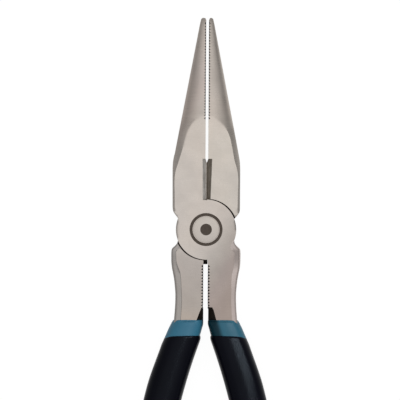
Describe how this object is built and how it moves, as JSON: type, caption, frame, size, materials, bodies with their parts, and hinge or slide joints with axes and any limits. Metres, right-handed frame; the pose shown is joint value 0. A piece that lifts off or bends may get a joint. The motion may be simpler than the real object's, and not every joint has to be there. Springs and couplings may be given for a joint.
{
  "type": "needle nose pliers",
  "caption": "Long-nose pliers with serrated jaws, a side cutter, a riveted lap joint and curved layered grips with a contrasting collar.",
  "frame": {"origin": "on the pivot axis, at the back ground face of the joint", "axes": "+Z along the pivot from the back face to the front face, +Y towards the tips, +X across the tool"},
  "size_m": [0.0578, 0.203, 0.0124],
  "materials": {
    "lever_steel": "ground and polished, satin",
    "rivet_steel": "ground flush with the joint",
    "grip_teal": "satin moulded plastic",
    "grip_black": "satin moulded plastic"
  },
  "bodies": {
    "back_half": {"back_lever": "lever_steel", "pivot_rivet": "rivet_steel", "left_grip_liner": "grip_teal", "left_grip_sleeve": "grip_black"},
    "front_half": {"front_lever": "lever_steel", "right_grip_liner": "grip_teal", "right_grip_sleeve": "grip_black"}
  },
  "joints": [
    {"name": "pivot", "type": "hinge", "parent": "back_half", "child": "front_half", "pos_m": [0, 0, 0], "axis": [0, 0, 1], "range_deg": [-0.4, 48]}
  ]
}
